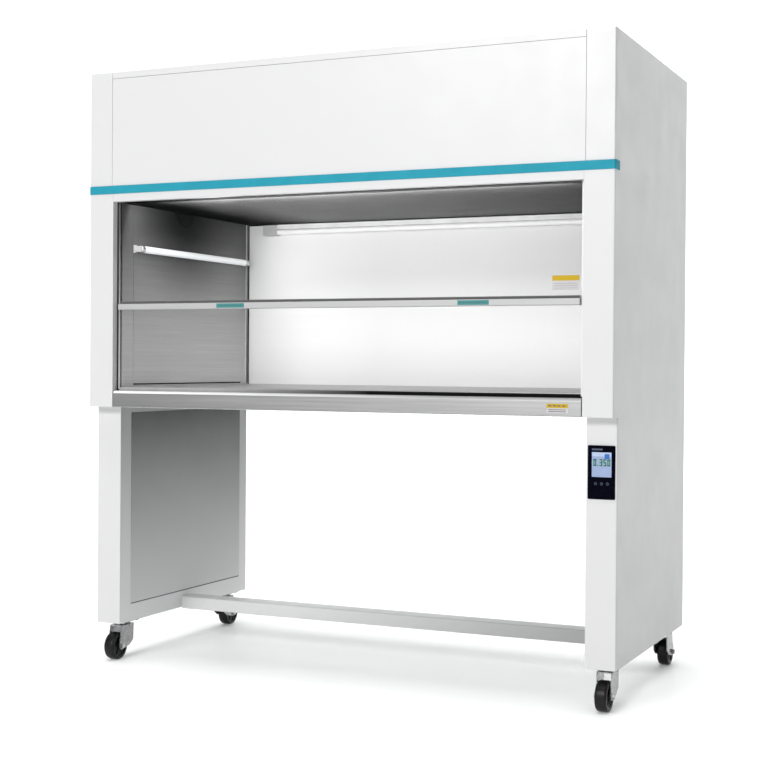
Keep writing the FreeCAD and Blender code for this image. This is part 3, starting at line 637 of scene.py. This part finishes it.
def labels():
    """Blank coloured labels: no lettering, only plain bands and rules."""
    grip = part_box("sash_handle")[0]
    glass_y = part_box("sash_glass")[0].y
    apron_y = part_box("worktop_apron")[0].y
    low, high = GRIP_BAND
    for name, x0, x1 in GRIP_LABELS:
        sticker(name, x0, x1, grip.z + low, grip.z + high, grip.y, LABEL_TEAL, "sash")
    foot, meet, top = GLASS_BANDS
    sticker("glass_label_white", *GLASS_LABEL, foot, meet, glass_y, LABEL_WHITE, "sash")
    sticker("glass_label_yellow", *GLASS_LABEL, meet, top, glass_y, LABEL_YELLOW, "sash")
    foot, meet, top = APRON_BANDS
    sticker("apron_label_white", *APRON_LABEL, foot, meet, apron_y, LABEL_WHITE, ROOT)
    sticker("apron_label_yellow", *APRON_LABEL, meet, top, apron_y, LABEL_YELLOW, ROOT)

    def glass_rules(bm):
        margin = 0.004
        x0, x1 = GLASS_LABEL
        rules(bm, x0 + margin, x1 - margin, (1.0135, 1.019, 1.0245), 0.0007, glass_y)
    piece("glass_label_rules", glass_rules, LABEL_INK, "sash", 0)

    def apron_rules(bm):
        start = APRON_LABEL[0] + 0.004
        rules(bm, start, start + 0.044, (0.7185, 0.7230), 0.0016, apron_y)
        for i in range(4):
            x = start + i * 0.0115
            rules(bm, x, x + 0.008, (0.7315,), 0.0030, apron_y)
    piece("apron_label_rules", apron_rules, LABEL_INK, ROOT, 0)

    def grip_rules(bm):
        for start in (-0.336, 0.348):
            for i in range(9):
                x = start + i * 0.008
                rules(bm, x, x + 0.0055, (grip.z + 0.0068,), 0.0030, grip.y)
    deep = moulded("label_deep", srgb(48, 98, 100), 0.5, 300.0, 0.03, 0.03)
    piece("grip_label_rules", grip_rules, deep, "sash", 0)


# ---------------------------------------------------------------- control panel
FILM = 0.00008                          # thickness of a lit shape on the screen
PRINT = 0.00006                         # thickness of a printed shape on the bezel
LIFT = 0.0001                           # how far the upper layer lies above the screen
DIGIT_TALL = 0.0165
STROKE = 0.0028
SEGMENTS = {"0": "abcdef", "3": "abcdg", "5": "acdfg"}
READING = "0.350"
RING_OUTER = 0.0034
RING_INNER = 0.0024


def add_digit(bm, text, x, z, w, y):
    """One seven-segment digit."""
    middle = z + DIGIT_TALL / 2
    top = z + DIGIT_TALL
    right = x + w
    marks = {
        "a": (x, right, top - STROKE, top),
        "b": (right - STROKE, right, middle, top),
        "c": (right - STROKE, right, z, middle),
        "d": (x, right, z, z + STROKE),
        "e": (x, x + STROKE, z, middle),
        "f": (x, x + STROKE, middle, top),
        "g": (x, right, middle - STROKE / 2, middle + STROKE / 2),
    }
    for key in SEGMENTS[text]:
        add_patch(bm, *marks[key], y, STROKE * 0.3, 2, FILM)


def control_panel():
    """Screen contents as plain shapes: one reading, one tile, touch rings under the screen."""
    low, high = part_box("control_screen")
    bezel_low, bezel_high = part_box("control_bezel")
    y = low.y
    bezel_y = bezel_low.y
    green = glowing("screen_green", srgb(24, 112, 62), 0.10)
    blue = glowing("screen_blue", srgb(36, 96, 170), 0.10)
    pale = glowing("screen_pale", srgb(166, 180, 208), 0.08)
    touch = glowing("touch_ring", srgb(62, 70, 92), 0.02)
    width = high.x - low.x
    gap = width * 0.05

    def header(bm):
        inset = 0.0008
        add_patch(bm, low.x + inset, high.x - inset, high.z - 0.010, high.z - inset, y, 0.0008, 3, FILM)
    piece("screen_header", header, pale, ROOT, 0)

    def tile(bm):
        add_patch(bm, high.x - 0.017, high.x - 0.005, high.z - 0.016, high.z - 0.004, y - LIFT,
                  0.0015, 4, 0.0001)
    piece("screen_tile", tile, blue, ROOT, 0)

    def reading(bm):
        z = low.z + 0.026
        w = width * 0.15
        x = low.x + width * 0.08
        for text in READING:
            if text == ".":
                add_patch(bm, x, x + STROKE, z, z + STROKE, y - LIFT, 0.0004, 2, FILM)
                x += STROKE + gap
            else:
                add_digit(bm, text, x, z, w, y - LIFT)
                x += w + gap
    piece("screen_reading", reading, green, ROOT, 0)

    def legend(bm):
        top = bezel_high.z
        add_patch(bm, low.x, low.x + width * 0.55, top - 0.0115, top - 0.0075, bezel_y, 0.0008, 2, PRINT)
    piece("bezel_legend", legend, touch, ROOT, 0)

    def rings(bm):
        steps = 24
        cz = low.z - 0.016
        face = bezel_y - PRINT
        turn = []
        for k in range(steps):
            a = 2 * math.pi * k / steps
            turn.append((math.cos(a), math.sin(a)))
        for i in range(3):
            cx = low.x + width * (0.2 + 0.3 * i)
            outer = [bm.verts.new((cx + RING_OUTER * c, face, cz + RING_OUTER * s)) for c, s in turn]
            inner = [bm.verts.new((cx + RING_INNER * c, face, cz + RING_INNER * s)) for c, s in turn]
            for k in range(steps):
                j = (k + 1) % steps
                bm.faces.new((outer[k], outer[j], inner[j], inner[k]))
            add_patch(bm, cx - 0.0004, cx + 0.0004, cz, cz + 0.004, bezel_y, 0.0003, 2, PRINT)
    piece("touch_rings", rings, touch, ROOT, 0)

    def rim(bm):
        r = 0.0008
        add_patch(bm, low.x - r, high.x + r, low.z - r, high.z + r, y + 0.0003, 0.001, 4, 0.0001)
    piece("screen_rim", rim, MATS["panel_black"], ROOT, 0)


# ---------------------------------------------------------------- lamps
def uv_lamp():
    """Glass tube with a metal cap at each end."""
    low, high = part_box("uv_lamp_tube")
    cx = (low.x + high.x) / 2
    cz = (low.z + high.z) / 2
    r = (high.z - low.z) / 2 - 0.0003
    y0 = low.y
    y1 = high.y
    cap = 0.016
    length = (y1 - cap) - (y0 + cap)

    def tube(bm):
        profile = [(0.0, 0.0), (r * 0.8, 0.0), (r * 0.96, 0.002), (r, 0.006)]
        profile += [(r, length - 0.006), (r * 0.96, length - 0.002), (r * 0.8, length), (0.0, length)]
        add_lathe(bm, profile, (cx, y0 + cap, cz), (0, 1, 0), 40)
    glass = piece("uv_tube_glass", tube, MATS["lamp_glass"], ROOT)

    def caps(bm):
        profile = [(0.0, 0.0), (r - 0.0015, 0.0), (r + 0.0002, 0.0012), (r + 0.0003, cap - 0.003),
                   (r - 0.0003, cap - 0.0015), (r - 0.0006, cap), (0.0, cap)]
        for y, way in ((y0, 1), (y1, -1)):
            add_lathe(bm, profile, (cx, y, cz), (0, way, 0), 40)
    ends = piece("uv_tube_caps", caps, MATS["fan_aluminium"], ROOT)
    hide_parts("uv_lamp_tube")


# ---------------------------------------------------------------- chamber and apron
def ceiling():
    """Finely punched ceiling sheet with folded edges."""
    low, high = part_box("diffuser_plate")
    t = 0.0015

    def sheet(bm):
        add_block(bm, (low.x, low.y, low.z), (high.x, high.y, low.z + t))
    plate = piece("ceiling_sheet", sheet, MATS["ceiling_steel"], ROOT, 0)

    def edges(bm):
        add_block(bm, (low.x, low.y, low.z + t), (low.x + t, high.y, high.z))
        add_block(bm, (high.x - t, low.y, low.z + t), (high.x, high.y, high.z))
        add_block(bm, (low.x + t, low.y, low.z + t), (high.x - t, low.y + t, high.z))
        add_block(bm, (low.x + t, high.y - t, low.z + t), (high.x - t, high.y, high.z))
    fold = piece("ceiling_folds", edges, MATS["chamber_steel"], ROOT, 0)
    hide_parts("diffuser_plate")


def grip_channel():
    """Grey rubber strip on the step of the grip, just under the pane."""
    low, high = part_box("sash_handle")
    step = low.y + GRIP_STEP

    def strip(bm):
        add_block(bm, (low.x + 0.001, step - 0.0004, high.z - 0.0066),
                  (high.x - 0.001, step + 0.0001, high.z - 0.0002), 0.0001)
    piece("grip_channel", strip, CHANNEL_GREY, "sash")


LINER_FRONT = -0.281                    # y range of the joint under the side liners
LINER_BACK = 0.311
FLANGE_FRONT = 0.3442                   # y where the back wall's flanges begin


def chamber_shadows():
    """Painted shadow and shade: dark lines round the back wall and under the side liners, and a dark skin
    on the back wall's flanges.
    """
    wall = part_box("chamber_back_wall")
    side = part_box("chamber_wall_right")
    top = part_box("diffuser_plate")[0].z
    mat = MATS["black_rubber"]
    inner = wall[1].x - FLANGE_SHEET

    # painted shadow: black beads in the back wall's upright corners and under the ceiling
    def beads(bm):
        wide = 0.003
        deep = 0.0015
        for s in (-1, 1):
            x0, x1 = on_side(s, inner - wide, inner)
            add_block(bm, (x0, BACK_WALL_FACE - deep, WORKTOP_TOP), (x1, BACK_WALL_FACE, wall[1].z), 0.0004)
        add_block(bm, (wide - inner, BACK_WALL_FACE - 0.002, top - wide),
                  (inner - wide, BACK_WALL_FACE, top), 0.0004)
    piece("corner_shadow_beads", beads, mat, ROOT)

    # painted shadow: a black strip in the gap under each side liner's lower edge
    def joint(bm):
        for s in (-1, 1):
            x0, x1 = on_side(s, side[0].x, side[0].x + 0.001)
            add_block(bm, (x0, LINER_FRONT, WORKTOP_TOP + 0.0032),
                      (x1, LINER_BACK, WORKTOP_TOP + 0.0069), 0.0003)
    piece("liner_joint_shadow", joint, mat, ROOT)

    # painted shade: a dark copy of the chamber steel laid on the inner face of each back-wall flange
    def skins(bm):
        for s in (-1, 1):
            x0, x1 = on_side(s, inner - 0.0001, inner)
            add_block(bm, (x0, FLANGE_FRONT, WORKTOP_TOP + 0.0042),
                      (x1, BACK_WALL_FACE - 0.0015, wall[1].z - 0.0005))
    piece("flange_skins", skins, MATS["flange_steel"], ROOT, 0)


SKIN_OUT = 0.00012                      # how far the highlight skin lies above the round
SKIN_IN = 0.00001


def apron_edge():
    """A light skin on the round of the front edge of the worktop's apron: a painted highlight, lighter
    towards the left.
    """
    low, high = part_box("worktop_apron")
    r = 0.008
    steps = 8
    start = 8                           # degrees from straight forward towards straight up
    sweep = 82

    def skin(bm):
        rings = []
        for x in (low.x + 0.0005, high.x - 0.0005):
            for reach in (r + SKIN_OUT, r + SKIN_IN):
                ring = []
                for i in range(steps + 1):
                    a = math.radians(start + sweep * i / steps)
                    y = low.y + r - reach * math.cos(a)
                    z = high.z - r + reach * math.sin(a)
                    ring.append(bm.verts.new((x, y, z)))
                rings.append(ring)
        outer_a, inner_a, outer_b, inner_b = rings
        for i in range(steps):
            j = i + 1
            bm.faces.new((outer_a[i], outer_a[j], outer_b[j], outer_b[i]))
            bm.faces.new((inner_a[i], inner_b[i], inner_b[j], inner_a[j]))
            bm.faces.new((outer_a[i], inner_a[i], inner_a[j], outer_a[j]))
            bm.faces.new((outer_b[i], outer_b[j], inner_b[j], inner_b[i]))
        for i in (0, steps):
            bm.faces.new((outer_a[i], outer_b[i], inner_b[i], inner_a[i]))
    piece("apron_edge_highlight", skin, MATS["edge_steel"], ROOT, 40)


def guide_liners():
    """Thin liners on the inner faces of the sash guides, wrapped a little round their fronts."""
    low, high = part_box("sash_guides")
    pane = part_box("sash_glass")
    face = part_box("chamber_wall_right")[0].x + RAISED_FIELD
    t = 0.0001
    front = (low.y, pane[0].y - 0.0005)
    rear = (pane[1].y + 0.0005, high.y)

    def sheets(bm, s):
        for y0, y1 in (front, rear):
            x0, x1 = on_side(s, face - t, face)
            add_block(bm, (x0, y0 - t, low.z), (x1, y1, high.z))
        for y, wrap in ((front[0], 0.003), (rear[0], 0.006)):
            x0, x1 = on_side(s, face, face + wrap)
            add_block(bm, (x0, y - t, low.z), (x1, y, high.z))
    piece("guide_liner_left", lambda bm: sheets(bm, -1), MATS["wall_steel"], ROOT, 0)
    piece("guide_liner_right", lambda bm: sheets(bm, 1), MATS["liner_light"], ROOT, 0)


def leg_joints():
    """Shadow joints along the bottom and rear edges of the leg access panels."""
    low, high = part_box("leg_panels")
    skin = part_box("leg_housing_right")[0].x
    gap = 0.0002
    mat = moulded("joint_grey", grey(0.045), 0.7, 400.0, 0.1, 0.1, Specular_IOR_Level=0.2)

    def lines(bm):
        for s in (-1, 1):
            x0, x1 = on_side(s, skin - 0.0001, skin)
            add_block(bm, (x0, low.y, low.z - 0.0030), (x1, high.y, low.z - gap))
            add_block(bm, (x0, high.y + gap, low.z), (x1, high.y + 0.0016, high.z))
    piece("leg_panel_joints", lines, mat, ROOT, 0)


def slot_brushes():
    """Black wiper strips each side of the pane where it enters the upper cabinet."""
    low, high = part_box("fascia_rail")
    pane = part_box("sash_glass")
    near = 0.0010
    far = 0.0040

    def strips(bm):
        for y0, y1 in ((pane[0].y - far, pane[0].y - near), (pane[1].y + near, pane[1].y + far)):
            add_block(bm, (low.x + 0.006, y0, low.z), (high.x - 0.006, y1, low.z + 0.006), 0.0004)
    piece("slot_brushes", strips, MATS["black_rubber"], ROOT, 0)


# ---------------------------------------------------------------- casters
TREAD_HALF = 0.015
HUB_HALF = 0.0165
RIBS = 6


def wheels():
    """Turned wheels with a rounded tread, hub ribs and a raised boss."""
    for corner in CORNERS:
        low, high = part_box("caster_wheel_" + corner)
        c = ((low.x + high.x) / 2, (low.y + high.y) / 2, (low.z + high.z) / 2)
        r = (high.z - low.z) / 2
        half = [(0.0042, -HUB_HALF), (0.0100, -HUB_HALF), (0.0110, -0.0155), (0.0113, -0.0118),
                (0.0255, -0.0112), (0.0268, -0.0128), (0.0280, -0.0146), (0.0300, -TREAD_HALF),
                (r - 0.0045, -TREAD_HALF), (r - 0.0022, -0.0142), (r - 0.0007, -0.0122), (r, -0.0098)]
        profile = half + [(radius, -along) for radius, along in reversed(half)]

        def wheel(bm):
            add_lathe(bm, profile + profile[:1], c, (1, 0, 0), 64)
            for side in (-1, 1):
                for i in range(RIBS):
                    a = math.radians(360 / RIBS * i)
                    rib = bmesh.ops.create_cube(bm, size=1.0)["verts"]
                    for v in rib:
                        x = c[0] + side * (0.0125 + v.co.x * 0.003)
                        radial = 0.0188 + v.co.y * 0.015
                        across = v.co.z * 0.0032
                        v.co = Vector((x, c[1] + radial * math.cos(a) - across * math.sin(a),
                                       c[2] + radial * math.sin(a) + across * math.cos(a)))
        obj = piece("wheel_" + corner + "_turned", wheel, MATS["wheel_black"], "wheel_" + corner, 30)
        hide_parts("caster_wheel_" + corner)


# ---------------------------------------------------------------- cables
LAY_RADIUS = 0.00075                    # from the cable's middle to the middle of a strand
STRAND_RADIUS = 0.0007
STRANDS = 5
TWISTS = 6                              # full turns of the strands over one run
CABLE_STEPS = 60


def add_cable(bm, x, y, z0, z1):
    """A straight upright cable of twisted strands."""
    corners = (0, math.pi / 2, math.pi, 3 * math.pi / 2)
    for k in range(STRANDS):
        last = None
        for i in range(CABLE_STEPS + 1):
            t = i / CABLE_STEPS
            a = 2 * math.pi * (k / STRANDS + t * TWISTS)
            cx = x + LAY_RADIUS * math.cos(a)
            cy = y + LAY_RADIUS * math.sin(a)
            z = z0 + (z1 - z0) * t
            ring = [bm.verts.new((cx + STRAND_RADIUS * math.cos(w), cy + STRAND_RADIUS * math.sin(w), z))
                    for w in corners]
            if last:
                for j in range(4):
                    n = (j + 1) % 4
                    bm.faces.new((last[j], last[n], ring[n], ring[j]))
            last = ring


def cables():
    """Twisted balance cables in straight runs, one by the sash and one by each weight."""
    sash_low, sash_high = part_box("sash_cables")
    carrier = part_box("sash_carriers")[1].z
    top = sash_high.z
    y = (sash_low.y + sash_high.y) / 2
    for side, s in (("left", -1), ("right", 1)):
        x = s * (sash_high.x - 0.0015)
        sash_run = piece("sash_cable_" + side, lambda bm: add_cable(bm, x, y, carrier, top),
                         MATS["cable_steel"], None)
        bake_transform(sash_run)
        low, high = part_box("weight_cable_" + side)
        wy = (low.y + high.y) / 2
        weight_run = piece("weight_cable_" + side + "_strand",
                           lambda bm: add_cable(bm, x, wy, low.z, high.z), MATS["cable_steel"], None)
        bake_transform(weight_run)
        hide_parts("weight_cable_" + side)
        if side == "left":
            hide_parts("sash_cables")


# ---------------------------------------------------------------- stage
FLOOR_HALF = 12.0
FLOOR_FRONT = -9.0
SWEEP_START = 5.0                       # y where the floor begins to curve up into the backdrop
SWEEP_RADIUS = 1.5
BACKDROP_TOP = 7.0


def floor():
    """Pale floor that curves up into a backdrop, and shines a little."""
    mat = powder_coat("floor_paint", (0.93, 0.94, 0.935, 1.0), 0.7, 0.01)
    glow = mat.node_tree.nodes["Principled BSDF"].inputs
    glow["Emission Color"].default_value = grey(1.0)
    glow["Emission Strength"].default_value = 0.12
    mesh = bpy.data.meshes.new("floor")
    bm = bmesh.new()
    rows = [(FLOOR_FRONT, 0.0), (SWEEP_START, 0.0)]
    for i in range(1, 9):
        a = math.radians(90 * i / 8)
        rows.append((SWEEP_START + SWEEP_RADIUS * math.sin(a), SWEEP_RADIUS - SWEEP_RADIUS * math.cos(a)))
    rows.append((SWEEP_START + SWEEP_RADIUS, BACKDROP_TOP))
    line = []
    for y, z in rows:
        ends = [bm.verts.new((x, y, z - 0.0005)) for x in (-FLOOR_HALF, FLOOR_HALF)]
        line.append(ends)
    for p, q in zip(line, line[1:]):
        bm.faces.new((p[0], p[1], q[1], q[0]))
    bmesh.ops.recalc_face_normals(bm, faces=bm.faces)
    bm.to_mesh(mesh)
    bm.free()
    mesh.materials.append(mat)
    for poly in mesh.polygons:
        poly.use_smooth = True
    obj = bpy.data.objects.new("floor", mesh)
    bpy.context.scene.collection.objects.link(obj)


def area(name, place, target, size, power):
    """A rectangular lamp at one place, aimed at another."""
    light = bpy.data.lights.new(name, "AREA")
    light.shape = "RECTANGLE"
    light.size = size[0]
    light.size_y = size[1]
    light.energy = power
    obj = bpy.data.objects.new(name, light)
    obj.location = place
    aim = Vector(target) - Vector(place)
    obj.rotation_euler = aim.to_track_quat("-Z", "Y").to_euler()
    bpy.context.scene.collection.objects.link(obj)
    return obj


WORLD_LEVEL = 0.19                      # strength of the world before its slope is added
WORLD_SLOPE = (-0.21, -0.12, 0.02)      # change of strength towards +x, +y and +z


def studio():
    """World that is brighter on the front left, a wide overhead lamp and four area lamps."""
    world = bpy.data.worlds.new("studio")
    world.use_nodes = True
    tree = world.node_tree
    back = tree.nodes["Background"]
    back.inputs["Color"].default_value = grey(1.0)
    coord = tree.nodes.new("ShaderNodeTexCoord")
    tilt = tree.nodes.new("ShaderNodeVectorMath")
    tilt.operation = "DOT_PRODUCT"
    tilt.inputs[1].default_value = WORLD_SLOPE
    level = tree.nodes.new("ShaderNodeMath")
    level.operation = "ADD"
    level.inputs[1].default_value = WORLD_LEVEL
    tree.links.new(coord.outputs["Generated"], tilt.inputs[0])
    tree.links.new(tilt.outputs["Value"], level.inputs[0])
    tree.links.new(level.outputs[0], back.inputs["Strength"])
    bpy.context.scene.world = world
    sun = bpy.data.lights.new("overhead", "SUN")
    sun.energy = 2.1
    sun.angle = math.radians(48)
    lamp = bpy.data.objects.new("overhead", sun)
    lamp.location = (0, 0, 5)
    bpy.context.scene.collection.objects.link(lamp)
    area("key_front", (-0.6, -7.0, 3.7), (0, 0, 0.9), (4.0, 1.8), 345)
    area("chamber_fill", (0.0, -0.318, 1.251), (0.0, 0.34, 1.02), (1.24, 0.03), 3.3)
    # The UV tube's own light. Its whole length stays inside the chamber.
    glow = area("lamp_glow", (-0.620, 0.12, 1.145), (0.0, 0.20, 1.10), (0.36, 0.012), 0.6)
    glow.visible_camera = False
    area("backdrop_wash", (-1.0, 3.2, 3.8), (-2.0, 6.5, 2.6), (12.0, 3.0), 210)


CAMERA_PLACE = (1.6589, -3.6915, 0.8296)
CAMERA_LENS = 69.28                     # millimetres, for a sensor 36 wide
CAMERA_AZIMUTH = -24.594                # degrees, as are the next two
CAMERA_PITCH = -0.589
CAMERA_ROLL = 0.394


def camera():
    """Camera at the photograph's viewing angle."""
    data = bpy.data.cameras.new("camera")
    data.sensor_width = 36.0
    data.lens = CAMERA_LENS
    obj = bpy.data.objects.new("camera", data)
    az = math.radians(CAMERA_AZIMUTH)
    pitch = math.radians(CAMERA_PITCH)
    roll = math.radians(CAMERA_ROLL)
    fw = Vector((math.sin(az) * math.cos(pitch), math.cos(az) * math.cos(pitch), math.sin(pitch)))
    right = Vector((math.cos(az), -math.sin(az), 0.0))
    up = right.cross(fw)
    r = math.cos(roll) * right + math.sin(roll) * up
    u = -math.sin(roll) * right + math.cos(roll) * up
    turn = Matrix((r, u, -fw)).transposed().to_4x4()
    obj.matrix_world = Matrix.Translation(Vector(CAMERA_PLACE)) @ turn
    bpy.context.scene.collection.objects.link(obj)
    bpy.context.scene.camera = obj


paint_nodes()
round_edges()
labels()
control_panel()
uv_lamp()
ceiling()
grip_channel()
chamber_shadows()
apron_edge()
guide_liners()
leg_joints()
slot_brushes()
wheels()
cables()
floor()
studio()
camera()
bpy.context.scene.view_settings.view_transform = "Standard"
